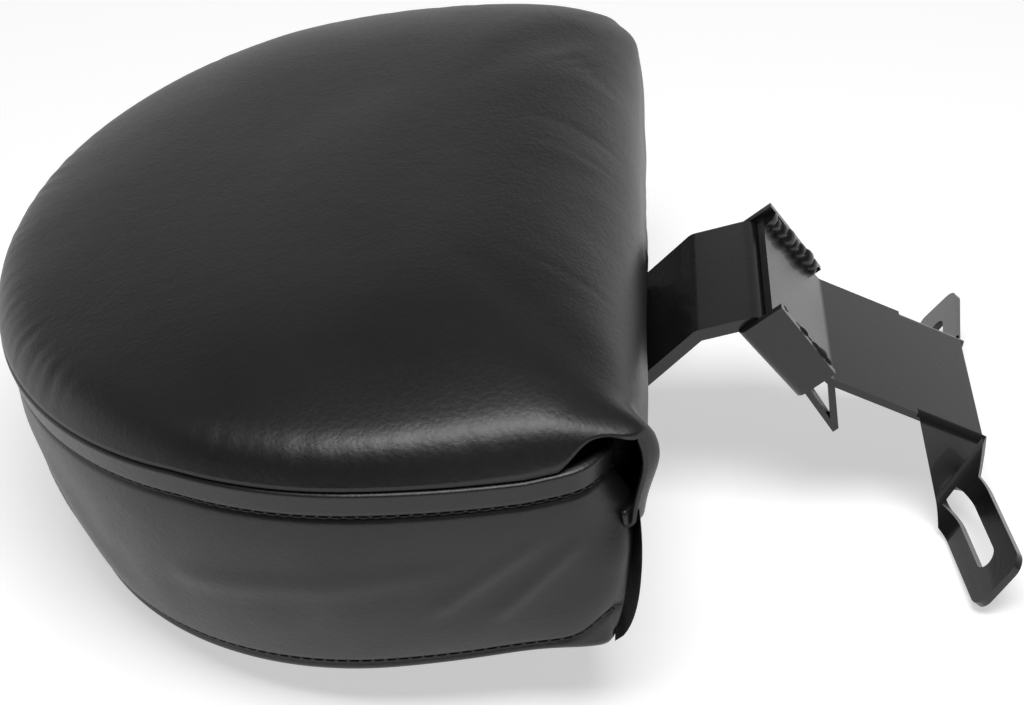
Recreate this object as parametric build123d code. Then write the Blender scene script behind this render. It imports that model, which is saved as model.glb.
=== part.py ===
from build123d import *
import os
from math import atan2, cos, degrees, radians, sin, sqrt, tan

# Plug-in rider backrest: a half-moon pad in a sewn cover, screwed to a bent flat bar.
# The bar drops into a pocket on a folded bracket with two slotted ears.
# Sizes are in millimetres. The model is drawn in the pad's own frame: X runs from the
# round tip (-X) to the straight edge (X = 0), Z is up from the back of the cover.
# At the end everything is tilted as it lies on a floor, on its tip and its two ears.

# Pad outline and height
PAD_LENGTH = 201.0
PAD_WIDTH = 284.0
EDGE_DROP = 12.0
WIDEST_AT = 76.0
BAND_HEIGHT = 69.5
BAND_LEAN = 9.5
EDGE_LEAN = 14.0
CROWN = 25.0
CROWN_REACH = 80.0
CROWN_EDGE_REACH = 52.0
CROWN_POWER = 2.6
CROWN_STEPS = (0.04, 0.15, 0.4, 1.0)

# Sewn cover and its filling
LEATHER = 1.4
SOFT_GAP = 0.3
FRONT_HEM_HEIGHT = 37.0
HEM_DEPTH = 11.0
BACK_FLAP_HEIGHT = 44.0
FLAP_MARGIN = 3.0
FLAP_CORNER = 9.0
NOTCH_ROOM = 3.0
NOTCH_CORNER = 6.0
BOARD_THICKNESS = 8.0

# Bent flat bar
BAR_WIDTH = 60.0
BAR_THICKNESS = 4.0
BAR_INNER_END = 112.0
BAR_RISE_START = 16.6
RISE_LENGTH = 40.5
RISE_ANGLE = 39.0
SADDLE_LENGTH = 21.0
SADDLE_ANGLE = 9.0
PLUG_ANGLE = -58.0
PLUG_LENGTH = 26.5
BAR_BEND = 1.0
BAR_CORNER = 4.0

# Screws that hold the bar to the board
SCREW_RADIUS = 3.0
SCREW_HEAD_RADIUS = 5.5
SCREW_HEAD_HEIGHT = 3.0
SCREW_HEAD_ROUND = 1.6
SCREW_HEX = 4.0
SCREW_HEX_DEPTH = 1.8
SCREW_CLEARANCE = 0.2
SCREW_FROM_EDGE = (50.0, 95.0)
SCREW_SPACING = 36.0
NUT_FLANGE_RADIUS = 9.0
NUT_FLANGE = 1.2
NUT_BARREL_RADIUS = 4.2
NUT_BARREL = 6.0
THREAD_CLEARANCE = 0.15

# Folded mounting bracket
SHEET = 2.5
PANEL_LENGTH = 31.0
PANEL_START = 1.5
PANEL_TO_BAR = 0.8
SIDE_CLEARANCE = 0.4
BRACKET_BEND = 3.0
DECK_ANGLE = -32.0
DECK_LENGTH = 53.5
FLANGE_WIDTH = 23.3
FLANGE_SPLAY = 14.0
FLANGE_BEND = 3.5
EAR_FRONT_SHIFT = 5.5
EAR_FRONT_DROP = 11.7
EAR_BACK_SHIFT = 1.8
EAR_BACK_DROP = 32.6
EAR_SPAN = 160.0
EAR_SWEEP = 0.122
EAR_LIFT = 0.035
EAR_BEND = 9.0
EAR_CORNER = 5.0
SLOT_START = 1.1
SLOT_TRAVEL = 28.4
SLOT_WIDTH = 7.6

# Pocket channel, its two straps and its welds
POCKET_MOUTH = 3.4
CHEEK_MOUTH = 0.2
POCKET_END = 2.4
POCKET_BEND = 3.5
LIP_RISE = 4.2
LIP_END_RISE = 2.6
STRAP = 2.2
STRAP_WIDTH = 4.5
STRAP_START = 7.0
STRAP_TO_BAR = 0.3
STRAP_KICK = 2.0
STRAP_DROP = 16.3
BEAD_RADII = (4.3, 3.6, 3.9)
BEAD_PITCH = 3.3
WELD_MARGIN = 1.2

# Room given to cutting solids, so that they pass right through what they cut
PAST = 10.0

# How far an edge's direction may turn from the one that is looked for, in degrees
ALIGN_ANGLE = 0.8


# Half-moon outlines

EDGE_WIDTH = PAD_WIDTH - 2 * EDGE_DROP
FLANK_RADIUS = (WIDEST_AT**2 + EDGE_DROP**2) / (2 * EDGE_DROP)


def half_width(x, inset):
    """Half the pad's width at x, on the flanks between the widest place and the straight edge."""
    reach = x + WIDEST_AT
    return PAD_WIDTH / 2 - inset - FLANK_RADIUS + sqrt(FLANK_RADIUS**2 - reach**2)


def half_moon(z, inset, edge_x):
    """Flat half-moon at height z: an elliptic tip, two flank arcs and the straight edge."""
    width = PAD_WIDTH / 2 - inset
    length = PAD_LENGTH - WIDEST_AT - inset
    middle_x = (edge_x - WIDEST_AT) / 2
    end_y = half_width(edge_x, inset)
    middle_y = half_width(middle_x, inset)
    tip = EllipticalCenterArc((-WIDEST_AT, 0), length, width, start_angle=90, arc_size=180)
    near = ThreePointArc((-WIDEST_AT, -width), (middle_x, -middle_y), (edge_x, -end_y))
    edge = Line((edge_x, -end_y), (edge_x, end_y))
    far = ThreePointArc((edge_x, end_y), (middle_x, middle_y), (-WIDEST_AT, width))
    return Pos(0, 0, z) * make_face([tip, near, edge, far])


def below_seam(z):
    """How far below the seam a height lies, as a share of the band's height."""
    return 1 - z / BAND_HEIGHT


def edge_line(z):
    """X of the cover's straight side at height z: it leans in towards the back."""
    return -EDGE_LEAN * below_seam(z)


def pad_section(z, inset):
    """The pad's outline at a height below the seam, set in by the given amount."""
    return half_moon(z, inset + BAND_LEAN * below_seam(z), edge_line(z) - inset)


def lower_pad(low, inset):
    """The pad from a height up to the seam, with its leaning sides set in."""
    return loft([pad_section(low, inset), pad_section(BAND_HEIGHT, inset)], ruled=True)


def crown(inset):
    """The domed front of the pad above the seam, with its surface set in."""
    rise = CROWN - inset
    sections = [pad_section(BAND_HEIGHT, inset)]
    for step in CROWN_STEPS:
        height = BAND_HEIGHT + rise * (1 - (1 - step) ** CROWN_POWER) ** (1 / CROWN_POWER)
        edge_x = -inset - CROWN_EDGE_REACH * step
        sections.append(half_moon(height, inset + CROWN_REACH * step, edge_x))
    return loft(sections)


# Side profiles, drawn in the XZ plane and carried across the part

def profile(points):
    outline = [(x, 0, z) for x, z in points]
    return make_face(Polyline(*outline, outline[0]))


def across(face, width):
    return extrude(face, amount=width / 2, dir=(0, 1, 0), both=True)


def heading(angle):
    return cos(radians(angle)), sin(radians(angle))


def step_from(point, along, distance):
    return point[0] + along[0] * distance, point[1] + along[1] * distance


def follow(start, runs):
    """Corners of a bent strip's upper face, from its start, its lengths and their slopes."""
    points = [start]
    for length, angle in runs:
        points.append(step_from(points[-1], heading(angle), length))
    return points


def one_thickness_under(points, angles, thickness):
    """Corners of a bent strip's lower face."""
    corners = []
    for index, point in enumerate(points):
        before = angles[max(index - 1, 0)]
        after = angles[min(index, len(angles) - 1)]
        reach = thickness / cos(radians((after - before) / 2))
        corners.append(step_from(point, heading((before + after) / 2 - 90), reach))
    return corners


def strip(start, runs, thickness, bend):
    """Side profile of a bent strip, with the given radius inside each bend."""
    angles = [angle for length, angle in runs]
    upper = follow(start, runs)
    lower = one_thickness_under(upper, angles, thickness)
    upper_radii = []
    lower_radii = []
    for before, after in zip(angles, angles[1:]):
        hollow_above = after > before
        upper_radii.append(bend if hollow_above else bend + thickness)
        lower_radii.append(bend + thickness if hollow_above else bend)
    top = FilletPolyline(*[(x, 0, z) for x, z in upper], radius=upper_radii)
    bottom = FilletPolyline(*[(x, 0, z) for x, z in lower[::-1]], radius=lower_radii[::-1])
    return make_face([top, Line(top @ 1, bottom @ 0), bottom, Line(bottom @ 1, top @ 0)])


# Cover: back panel with its notched flap, side band, front panel with its hemmed flap

board_top = LEATHER + BOARD_THICKNESS
bar_top = board_top + BAR_THICKNESS
filling_inset = LEATHER + SOFT_GAP

rise_slope = tan(radians(RISE_ANGLE))
bar_depth_at_rise = BAR_THICKNESS / cos(radians(RISE_ANGLE))
bar_crosses_flap = bar_top + (BAR_RISE_START + edge_line(0)) * rise_slope - bar_depth_at_rise
notch_low = bar_crosses_flap - NOTCH_ROOM
notch_half = BAR_WIDTH / 2 + NOTCH_ROOM
flap_half = half_width(edge_line(0), BAND_LEAN) - FLAP_MARGIN

flap_outline = Polyline(
    (flap_half, 0),
    (flap_half, BACK_FLAP_HEIGHT),
    (notch_half, BACK_FLAP_HEIGHT),
    (notch_half, notch_low),
    (-notch_half, notch_low),
    (-notch_half, BACK_FLAP_HEIGHT),
    (-flap_half, BACK_FLAP_HEIGHT),
    (-flap_half, 0),
    close=True,
)
flap_shape = make_face(flap_outline)
raised_corners = flap_shape.vertices().filter_by(lambda v: v.Y > notch_low + LEATHER)
flap_shape = fillet(raised_corners, FLAP_CORNER)
sunk_corners = flap_shape.vertices().filter_by(
    lambda v: abs(v.Y - notch_low) < LEATHER and abs(abs(v.X) - notch_half) < LEATHER
)
flap_shape = fillet(sunk_corners, NOTCH_CORNER)
flap_cut = extrude(Plane.YZ * flap_shape, amount=2 * EDGE_LEAN, both=True)
flap_sheet = across(
    profile(
        [
            (edge_line(0), 0),
            (edge_line(BACK_FLAP_HEIGHT), BACK_FLAP_HEIGHT),
            (edge_line(BACK_FLAP_HEIGHT) - LEATHER, BACK_FLAP_HEIGHT),
            (edge_line(0) - LEATHER, 0),
        ]
    ),
    PAD_WIDTH,
)
cover_back_panel = extrude(pad_section(0, 0), amount=LEATHER) + (flap_sheet & flap_cut)

straight_side = across(
    profile(
        [
            (edge_line(-PAST) - filling_inset, -PAST),
            (edge_line(BAND_HEIGHT + PAST) - filling_inset, BAND_HEIGHT + PAST),
            (PAST, BAND_HEIGHT + PAST),
            (PAST, -PAST),
        ]
    ),
    PAD_WIDTH + PAST,
)
cover_side_band = lower_pad(LEATHER, 0) - lower_pad(LEATHER, LEATHER) - straight_side

front_flap = across(
    profile(
        [
            (0, BAND_HEIGHT),
            (0, FRONT_HEM_HEIGHT),
            (-2 * LEATHER, FRONT_HEM_HEIGHT),
            (-2 * LEATHER, FRONT_HEM_HEIGHT + HEM_DEPTH),
            (-LEATHER, FRONT_HEM_HEIGHT + HEM_DEPTH),
            (-LEATHER, BAND_HEIGHT),
        ]
    ),
    EDGE_WIDTH - 2 * FLAP_MARGIN,
)
cover_front_panel = crown(0) - crown(LEATHER) + front_flap


def edges_along(solid, direction):
    """Straight edges of a solid that run in the given direction."""
    aligned = cos(radians(ALIGN_ANGLE))
    return solid.edges().filter_by(
        lambda e: e.geom_type == GeomType.LINE and abs((e % 0.5).dot(direction)) > aligned
    )


# Bent bar: flat on the board, rising out of the cover, over a saddle and down into the pocket

bar_start = (-BAR_INNER_END, bar_top)
bar_runs = [
    (BAR_INNER_END - BAR_RISE_START, 0.0),
    (RISE_LENGTH, RISE_ANGLE),
    (SADDLE_LENGTH, SADDLE_ANGLE),
    (PLUG_LENGTH, PLUG_ANGLE),
]
bar_corners = follow(bar_start, bar_runs)
plug_corner = bar_corners[3]
support_bar = across(strip(bar_start, bar_runs, BAR_THICKNESS, BAR_BEND), BAR_WIDTH)
inner_corners = support_bar.edges().filter_by(Axis.Z).group_by(Axis.X)[0]
support_bar = fillet(inner_corners, BAR_CORNER)

# Screws and tee nuts, one of each drawn at the origin and set out in two rows

screw_places = [
    (-from_edge, side * SCREW_SPACING / 2) for from_edge in SCREW_FROM_EDGE for side in (-1, 1)
]


def at_each_screw(shape, z):
    return [Pos(x, y, z) * shape for x, y in screw_places]


def upright(radius, height):
    """A round rod standing on the origin."""
    return Cylinder(radius, height, align=(Align.CENTER, Align.CENTER, Align.MIN))


screw_grip = BAR_THICKNESS + BOARD_THICKNESS - NUT_FLANGE
screw_head = upright(SCREW_HEAD_RADIUS, SCREW_HEAD_HEIGHT)
screw_head = fillet(screw_head.edges().group_by(Axis.Z)[-1], SCREW_HEAD_ROUND)
hex_socket = extrude(RegularPolygon(SCREW_HEX / 2, 6, major_radius=False), amount=SCREW_HEX_DEPTH)
screw_head -= Pos(0, 0, SCREW_HEAD_HEIGHT - SCREW_HEX_DEPTH) * hex_socket
screw = screw_head + Pos(0, 0, -screw_grip) * upright(SCREW_RADIUS, screw_grip)
bar_screws = Compound(at_each_screw(screw, bar_top))

nut_bore = SCREW_RADIUS + THREAD_CLEARANCE
nut = upright(NUT_FLANGE_RADIUS, NUT_FLANGE) + upright(NUT_BARREL_RADIUS, NUT_BARREL)
nut -= upright(nut_bore, NUT_BARREL)
tee_nuts = Compound(at_each_screw(nut, LEATHER))

screw_hole = upright(SCREW_RADIUS + SCREW_CLEARANCE, PAST)
nut_seat = upright(NUT_FLANGE_RADIUS + SCREW_CLEARANCE, NUT_FLANGE)
nut_seat += upright(NUT_BARREL_RADIUS + SCREW_CLEARANCE, NUT_BARREL)
nut_seat += screw_hole
support_bar -= at_each_screw(screw_hole, board_top)

backing_board = extrude(
    half_moon(LEATHER, BAND_LEAN + filling_inset, edge_line(0) - filling_inset),
    amount=BOARD_THICKNESS,
)
backing_board -= at_each_screw(nut_seat, LEATHER)

# Foam core, with a hollow for the bar, its screw heads and its way out

foam_core = lower_pad(board_top, filling_inset) + crown(filling_inset)
hollow_top = bar_top + SOFT_GAP
hollow_turn = -BAR_RISE_START - SOFT_GAP / rise_slope
hollow_way_out = hollow_top + (PAST - hollow_turn) * rise_slope
bar_hollow = across(
    profile(
        [
            (-BAR_INNER_END - SOFT_GAP, board_top - PAST),
            (-BAR_INNER_END - SOFT_GAP, hollow_top),
            (hollow_turn, hollow_top),
            (PAST, hollow_way_out),
            (PAST, board_top - PAST),
        ]
    ),
    BAR_WIDTH + 2 * SOFT_GAP,
)
head_hollow = upright(SCREW_HEAD_RADIUS + SOFT_GAP, SCREW_HEAD_HEIGHT + SOFT_GAP)
foam_core -= bar_hollow
foam_core -= at_each_screw(head_hollow, bar_top)

# Folded bracket: the pocket's panel runs down to the deck, whose sides fold into flanges and ears

plug_along = heading(PLUG_ANGLE)
plug_out = heading(PLUG_ANGLE + 90)
panel_face = PANEL_TO_BAR + SHEET
panel_top = step_from(step_from(plug_corner, plug_out, panel_face), plug_along, PANEL_START)
bracket_runs = [(PANEL_LENGTH, PLUG_ANGLE), (DECK_LENGTH, DECK_ANGLE)]
deck_start, deck_end = follow(panel_top, bracket_runs)[1:]
bracket_width = BAR_WIDTH + 2 * SIDE_CLEARANCE
mounting_bracket = across(strip(panel_top, bracket_runs, SHEET, BRACKET_BEND), bracket_width)

deck_along = heading(DECK_ANGLE)
deck_down = heading(DECK_ANGLE - 90)


def on_flange(shift, drop):
    """A point on the far flange's outer face: past the deck's end, and down from its fold."""
    fall = drop * cos(radians(FLANGE_SPLAY))
    x, z = step_from(step_from(deck_end, deck_along, shift), deck_down, fall)
    return Vector(x, bracket_width / 2 + drop * sin(radians(FLANGE_SPLAY)), z)


fold_back = on_flange(-FLANGE_WIDTH, 0)
fold_front = on_flange(0, 0)
bend_front = on_flange(EAR_FRONT_SHIFT, EAR_FRONT_DROP)
bend_back = on_flange(EAR_BACK_SHIFT, EAR_BACK_DROP)
bend_along = (bend_front - bend_back).normalized()
flange_out = (bend_front - fold_front).cross(fold_back - fold_front).normalized()
if flange_out.Y < 0:
    flange_out = -flange_out

ear_along = Vector(EAR_SWEEP, 1, EAR_LIFT).normalized()
ear_face = bend_along.cross(ear_along).normalized()
if ear_face.X > 0:
    ear_face = -ear_face
bend_middle = (bend_front + bend_back) / 2

# Both plates are thickened along the line that leads through the bend, so they meet cleanly there
through_bend = (flange_out + ear_face) * (-SHEET / (1 + flange_out.dot(ear_face)))


def plate(corners):
    """A flat plate, one sheet thick, behind the face that has these corners."""
    return extrude(make_face(Polyline(*corners, close=True)), amount=through_bend.length, dir=through_bend)


def past_ear_end(start):
    """A point on an ear edge that leaves the bend at a point, beyond the ear's end."""
    return start + ear_along * ((EAR_SPAN / 2 + PAST - start.Y) / ear_along.Y)


# The flange is drawn on past the fold, so that the bend has room, and is cut off at the deck
raised_back = fold_back + (fold_back - bend_back) * (PAST / EAR_BACK_DROP)
raised_front = fold_front + (fold_front - bend_front) * (PAST / EAR_FRONT_DROP)
flange = plate([raised_back, raised_front, bend_front, bend_back])
ear = plate([bend_back, bend_front, past_ear_end(bend_front), past_ear_end(bend_back)])
side = flange + ear
inside_bend = edges_along(side, bend_along).sort_by_distance(bend_middle)[0]
side = fillet(inside_bend, EAR_BEND)
outside_bend = edges_along(side, bend_along).sort_by_distance(bend_middle + through_bend)[0]
side = fillet(outside_bend, EAR_BEND + SHEET)
deck_top = Plane(origin=fold_front, x_dir=(0, 1, 0), z_dir=(-deck_down[0], 0, -deck_down[1]))
side = split(side, bisect_by=deck_top, keep=Keep.BOTTOM)

ear_plane = Plane(origin=bend_middle, x_dir=ear_along, z_dir=ear_face)
ear_length = (EAR_SPAN / 2 - bend_middle.Y) / ear_along.Y
end_plane = Plane(origin=bend_middle + ear_along * ear_length, x_dir=ear_face, z_dir=ear_along)
side = split(side, bisect_by=end_plane, keep=Keep.BOTTOM)
end_corners = side.faces().sort_by_distance(end_plane.origin)[0].edges().sort_by(Edge.length)[:2]
side = fillet(end_corners, EAR_CORNER)
slot = extrude(SlotCenterToCenter(SLOT_TRAVEL, SLOT_WIDTH), amount=2 * SHEET, both=True)
side -= ear_plane * Pos(SLOT_START + SLOT_TRAVEL / 2, 0, 0) * slot
mounting_bracket += [side, mirror(side, about=Plane.XZ)]

# The fold between deck and flange is rounded by cutting away its sharp corner
fold_turn = 90 - FLANGE_SPLAY
corner_reach = FLANGE_BEND * tan(radians(fold_turn / 2))
fold_down = heading(-fold_turn)
round_start = (-corner_reach, 0)
round_end = (corner_reach * fold_down[0], corner_reach * fold_down[1])
rounding = TangentArc(round_start, round_end, tangent=(1, 0))
sharp_corner = make_face([rounding, Line(round_end, (0, 0)), Line((0, 0), round_start)])
fold_plane = Plane(origin=fold_back, x_dir=(0, 1, 0), z_dir=(deck_along[0], 0, deck_along[1]))
corner_cut = extrude(fold_plane * sharp_corner, amount=FLANGE_WIDTH + PAST)
mounting_bracket -= [corner_cut, mirror(corner_cut, about=Plane.XZ)]

# Pocket channel: a folded sheet with a back behind the plug and two cheeks outside the panel

strap_front = -BAR_THICKNESS - STRAP_TO_BAR
strap_back = strap_front - STRAP
channel_back = strap_back - SHEET
bend_level = PANEL_START + PANEL_LENGTH
cheek_end = bend_level - POCKET_END


def in_pocket(along, out):
    """A point given by its distance down the plug and out from the plug's front face."""
    return step_from(step_from(plug_corner, plug_along, along), plug_out, out)


def pocket_profile(points):
    return profile([in_pocket(along, out) for along, out in points])


channel_width = bracket_width + 2 * SHEET
channel_block = across(
    pocket_profile(
        [
            (CHEEK_MOUTH, channel_back),
            (cheek_end, channel_back),
            (cheek_end, panel_face + LIP_END_RISE),
            (CHEEK_MOUTH, panel_face + LIP_RISE),
        ]
    ),
    channel_width,
)
back_edges = edges_along(channel_block, Vector(plug_along[0], 0, plug_along[1])).sort_by(Axis.X)[:2]
channel_block = fillet(back_edges, POCKET_BEND)
pocket_room = across(
    pocket_profile(
        [
            (CHEEK_MOUTH - PAST, channel_back - PAST),
            (POCKET_MOUTH, channel_back - PAST),
            (POCKET_MOUTH, strap_back),
            (cheek_end + PAST, strap_back),
            (cheek_end + PAST, panel_face + LIP_RISE + PAST),
            (CHEEK_MOUTH - PAST, panel_face + LIP_RISE + PAST),
        ]
    ),
    bracket_width,
)

# Two narrow straps lie in the channel behind the plug, kick back below it, and turn up to the deck

deck_under = step_from(deck_start, deck_down, SHEET)
strap_level = bend_level + STRAP_DROP
kick_back = strap_back - STRAP_KICK
tip_out = kick_back + STRAP
strap_tip = in_pocket(strap_level, tip_out)


def under_deck(x):
    return x, deck_under[1] + (x - deck_under[0]) * deck_along[1] / deck_along[0]


strap_profile = profile(
    [
        in_pocket(STRAP_START, strap_back),
        in_pocket(cheek_end, strap_back),
        in_pocket(strap_level, kick_back),
        strap_tip,
        under_deck(strap_tip[0]),
        under_deck(strap_tip[0] - STRAP),
        in_pocket(strap_level - 2 * STRAP, tip_out),
        in_pocket(cheek_end, strap_front),
        in_pocket(STRAP_START, strap_front),
    ]
)
strap_bar = extrude(strap_profile, amount=STRAP_WIDTH, dir=(0, 1, 0))
strap = Pos(0, bracket_width / 2 - STRAP_WIDTH, 0) * strap_bar
pocket_channel = channel_block - pocket_room + [strap, mirror(strap, about=Plane.XZ)]

# Welds: a row of beads in each corner between the panel and a cheek

weld_start = max(PANEL_START, CHEEK_MOUTH) + WELD_MARGIN
weld_length = cheek_end - WELD_MARGIN - weld_start
bead_count = int(weld_length / BEAD_PITCH) + 1
beads = []
for index in range(bead_count):
    x, z = in_pocket(weld_start + index * BEAD_PITCH, panel_face)
    beads.append(Pos(x, bracket_width / 2, z) * Sphere(BEAD_RADII[index % len(BEAD_RADII)]))
weld_corner = extrude(
    pocket_profile(
        [
            (weld_start, panel_face),
            (weld_start + weld_length, panel_face),
            (weld_start + weld_length, panel_face + LIP_RISE + PAST),
            (weld_start, panel_face + LIP_RISE + PAST),
        ]
    ),
    amount=bracket_width / 2,
    dir=(0, 1, 0),
)
weld = weld_corner & (beads[0] + beads[1:])
channel_welds = Compound([weld, mirror(weld, about=Plane.XZ)])

# Everything is tilted to lie on the tip of the pad and on the ears, with the origin on the floor

pieces = {
    "cover_front_panel": cover_front_panel,
    "cover_side_band": cover_side_band,
    "cover_back_panel": cover_back_panel,
    "foam_core": foam_core,
    "backing_board": backing_board,
    "support_bar": support_bar,
    "bar_screws": bar_screws,
    "tee_nuts": tee_nuts,
    "mounting_bracket": mounting_bracket,
    "pocket_channel": pocket_channel,
    "channel_welds": channel_welds,
}

tip_x = BAND_LEAN - PAD_LENGTH
tilt = max(atan2(-v.Z, v.X - tip_x) for v in mounting_bracket.vertices())
tilted = {name: Rot(0, -degrees(tilt), 0) * shape for name, shape in pieces.items()}
box = Compound(list(tilted.values())).bounding_box()
to_origin = Pos(-box.center().X, -box.center().Y, -box.min.Z)

os.makedirs("parts", exist_ok=True)
for name, shape in tilted.items():
    placed = to_origin * shape
    placed.label = name
    export_step(placed, f"parts/{name}.step")
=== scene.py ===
from math import cos, pi, radians, sin

import bmesh
import bpy
import numpy as np
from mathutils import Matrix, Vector, kdtree, noise


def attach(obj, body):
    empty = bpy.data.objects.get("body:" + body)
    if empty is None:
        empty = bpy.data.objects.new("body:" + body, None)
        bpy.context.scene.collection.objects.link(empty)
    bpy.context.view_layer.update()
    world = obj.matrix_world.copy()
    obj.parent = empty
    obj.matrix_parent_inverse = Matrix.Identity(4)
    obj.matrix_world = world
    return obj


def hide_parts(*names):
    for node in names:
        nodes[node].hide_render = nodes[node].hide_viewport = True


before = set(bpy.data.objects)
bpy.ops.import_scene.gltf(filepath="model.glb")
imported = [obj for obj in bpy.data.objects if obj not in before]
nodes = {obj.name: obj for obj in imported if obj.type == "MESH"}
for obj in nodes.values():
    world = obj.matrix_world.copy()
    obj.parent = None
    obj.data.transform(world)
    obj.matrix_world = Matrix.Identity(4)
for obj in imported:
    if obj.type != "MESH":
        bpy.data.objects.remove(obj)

scene = bpy.context.scene
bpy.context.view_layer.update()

# Foam core: one block of upholstery foam, cut to the half-moon and hollowed for the bar.
# It fills the cover, and shows only as a dark wall behind the flaps of the straight side.
# Sizes are millimetres in the pad's own frame: X 0 at the straight side, Z 0 on the pad's back.

MM = 0.001
REST_TILT = radians(8.41657)
PAD_ORIGIN_X = 50.3287
PAD_ORIGIN_Z = 28.0535
PAD_LENGTH = 201.0
PAD_HALF_WIDTH = 142.0
WIDEST_AT = 76.0
EDGE_DROP = 12.0
FLANK_RADIUS = (WIDEST_AT**2 + EDGE_DROP**2) / (2 * EDGE_DROP)
FLANK_POINTS = 60
TIP_POINTS = 400
CURVE_POINTS = 440
EDGE_POINTS = 200
LOOP_POINTS = CURVE_POINTS + EDGE_POINTS
BAND_HEIGHT = 69.5
BAND_LEAN = 9.5
CROWN_REACH = 80.0
CROWN_EDGE_REACH = 52.0
SQUARE_CORNER = 8
FOAM_INSET = 3.0
FOAM_EDGE_INSET = 6.0
FOAM_CORNER = 400
FOAM_CORNER_FROM = 46.0
FOAM_TOP = 65.0
FOAM_WALL = [(10.0, -13.8), (30.0, -9.8), (46.0, -1.5), (60.0, -1.0), (FOAM_TOP, -2.3)]
FOAM_CROWN = 22.0
FOAM_POWER = 1.6
FOAM_SHARES = [0.01, 0.04, 0.1, 0.2, 0.4, 0.7, 1.0]
FOAM_DARK = (0.003, 0.003, 0.003)
FOAM_PALE = (0.009, 0.009, 0.009)


def in_row(points):
    """Points of the pad's own frame, in millimetres, as they lie at rest in the row frame, in metres."""
    p = np.asarray(points, float)
    x = p[..., 0] * cos(REST_TILT) - p[..., 2] * sin(REST_TILT) + PAD_ORIGIN_X
    z = p[..., 0] * sin(REST_TILT) + p[..., 2] * cos(REST_TILT) + PAD_ORIGIN_Z
    return np.stack([x, p[..., 1], z], axis=-1) * MM


def below_seam(z):
    """How far below the seam a height lies, as a share of the band's height."""
    return 1 - z / BAND_HEIGHT


def distances(points):
    """Distance of each point of a polyline from its start."""
    steps = np.linalg.norm(np.diff(points, axis=0), axis=1)
    return np.concatenate([[0], np.cumsum(steps)])


def curved_side(inset, edge_x):
    """The pad's outline from the near corner round the tip to the far corner, evenly spaced."""
    width = PAD_HALF_WIDTH - inset
    length = PAD_LENGTH - WIDEST_AT - inset
    x = np.linspace(edge_x, -WIDEST_AT, FLANK_POINTS)
    y = width - FLANK_RADIUS + np.sqrt(FLANK_RADIUS**2 - (x + WIDEST_AT) ** 2)
    turn = np.linspace(-pi / 2, pi / 2, TIP_POINTS)[1:-1]
    near = np.stack([x, -y], axis=1)
    tip = np.stack([-WIDEST_AT - length * np.cos(turn), width * np.sin(turn)], axis=1)
    line = np.concatenate([near, tip, near[::-1] * (1, -1)])
    along = distances(line)
    wanted = np.linspace(0, along[-1], CURVE_POINTS)
    return np.stack([np.interp(wanted, along, line[:, i]) for i in (0, 1)], axis=1)


def eased(loop, passes):
    """A closed outline with its corners rounded off, as if averaged with its neighbours many times."""
    turn = np.arange(len(loop)) * pi / len(loop)
    kept = np.cos(turn)[:, None] ** (2 * passes)
    return np.fft.ifft(np.fft.fft(loop, axis=0) * kept, axis=0).real


def half_moon(inset, edge_x, near_ease, far_ease=None):
    """The pad's closed outline: the curved side, then the straight edge, with each corner eased."""
    curve = curved_side(inset, edge_x)
    share = np.linspace(0, 1, EDGE_POINTS + 2)[1:-1, None]
    edge = curve[-1] * (1 - share) + curve[0] * share
    sharp = np.concatenate([curve, edge])
    near = eased(sharp, near_ease)
    far = near if far_ease is None else eased(sharp, far_ease)
    return np.where(sharp[:, 1:] > 0, far, near)


def at_height(loop, z):
    """The points of an outline, at one height or at a height for each."""
    return np.column_stack([loop, np.broadcast_to(z, len(loop))])


def crown_rise(share, power):
    """Height of a crown, as a share of its full height, at a share of the way in from its rim."""
    return (1 - (1 - share) ** power) ** (1 / power)


def grid_faces(rows, columns, closed):
    """Faces of a grid of points that is numbered row by row."""
    faces = []
    for r in range(rows - 1):
        for c in range(columns if closed else columns - 1):
            d = (c + 1) % columns
            faces.append((r * columns + c, r * columns + d, (r + 1) * columns + d, (r + 1) * columns + c))
    return faces


def row_face(row):
    """One face that fills a whole row of outline points."""
    return tuple(range(row * LOOP_POINTS, (row + 1) * LOOP_POINTS))


def mesh_piece(name, points, faces):
    """A new smooth object at the origin, with its place in its mesh and its faces turned outwards."""
    mesh = bpy.data.meshes.new(name)
    mesh.from_pydata([tuple(p) for p in points], [], faces)
    shell = bmesh.new()
    shell.from_mesh(mesh)
    bmesh.ops.recalc_face_normals(shell, faces=shell.faces)
    shell.to_mesh(mesh)
    shell.free()
    mesh.polygons.foreach_set("use_smooth", [True] * len(mesh.polygons))
    piece = bpy.data.objects.new(name, mesh)
    scene.collection.objects.link(piece)
    return piece


class Value:
    """A shader socket. Arithmetic on it adds Math nodes."""

    def __init__(self, finish, socket):
        self.finish = finish
        self.socket = socket

    def maths(self, operation, first, second):
        return self.finish.node("ShaderNodeMath", {"operation": operation}, {0: first, 1: second})

    def __add__(self, other):
        return self.maths("ADD", self, other)

    def __mul__(self, other):
        return self.maths("MULTIPLY", self, other)

    __radd__ = __add__
    __rmul__ = __mul__


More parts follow.
